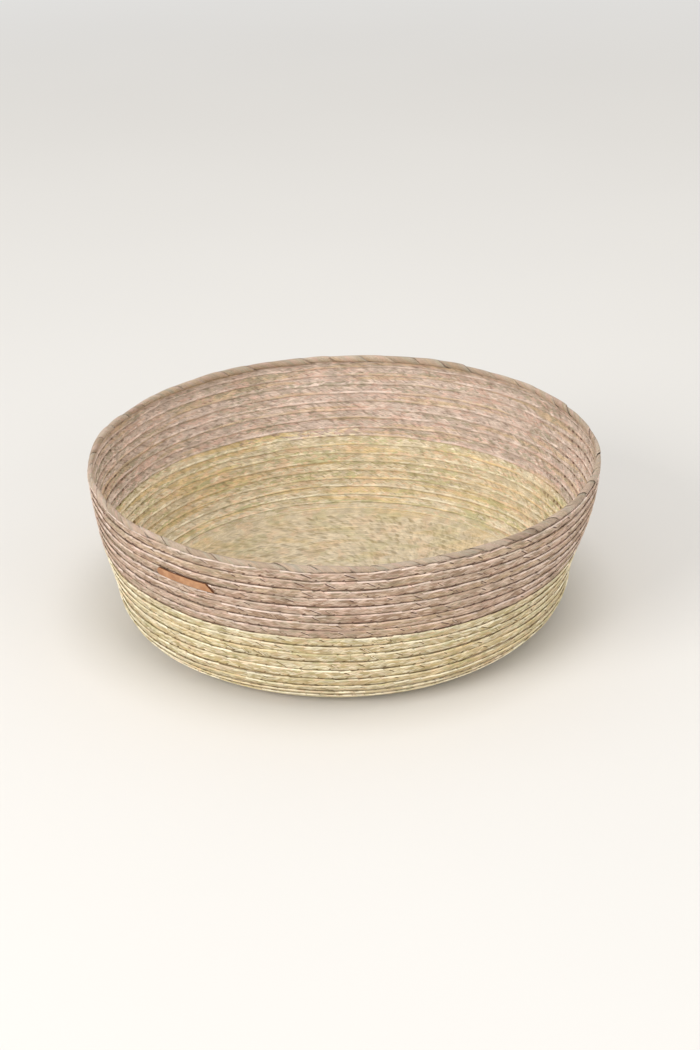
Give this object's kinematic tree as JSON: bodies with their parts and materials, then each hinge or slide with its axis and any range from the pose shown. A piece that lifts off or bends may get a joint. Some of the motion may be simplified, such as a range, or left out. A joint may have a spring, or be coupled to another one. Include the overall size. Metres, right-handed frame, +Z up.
{
  "type": "round basket",
  "caption": "Round open basket of flat palm-leaf braid sewn up in a spiral, with a flat base, a flaring two-tone wall, a leaf-bound rim and a small leather tag.",
  "frame": {"origin": "on the surface the basket stands on, under its axis", "axes": "+Z up along the basket's axis, -Y towards the viewer in the picture, +X to the viewer's right"},
  "size_m": [0.2997, 0.2998, 0.099],
  "materials": {
    "natural_leaf": "dry natural palm leaf, cream with green and gold strips",
    "rose_leaf": "dry palm leaf dyed dusty rose",
    "rim_leaf": "smooth wide palm-leaf strip, pale rose",
    "tan_leather": "smooth tan leather"
  },
  "bodies": {
    "root": {"base_braid": "natural_leaf", "corner_braid": "natural_leaf", "lower_wall_braid": "natural_leaf", "upper_wall_braid": "rose_leaf", "rim_core": "rose_leaf", "rim_strip_1": "rim_leaf", "rim_strip_2": "rim_leaf", "rim_strip_3": "rim_leaf", "leather_tag": "tan_leather"}
  },
  "joints": []
}
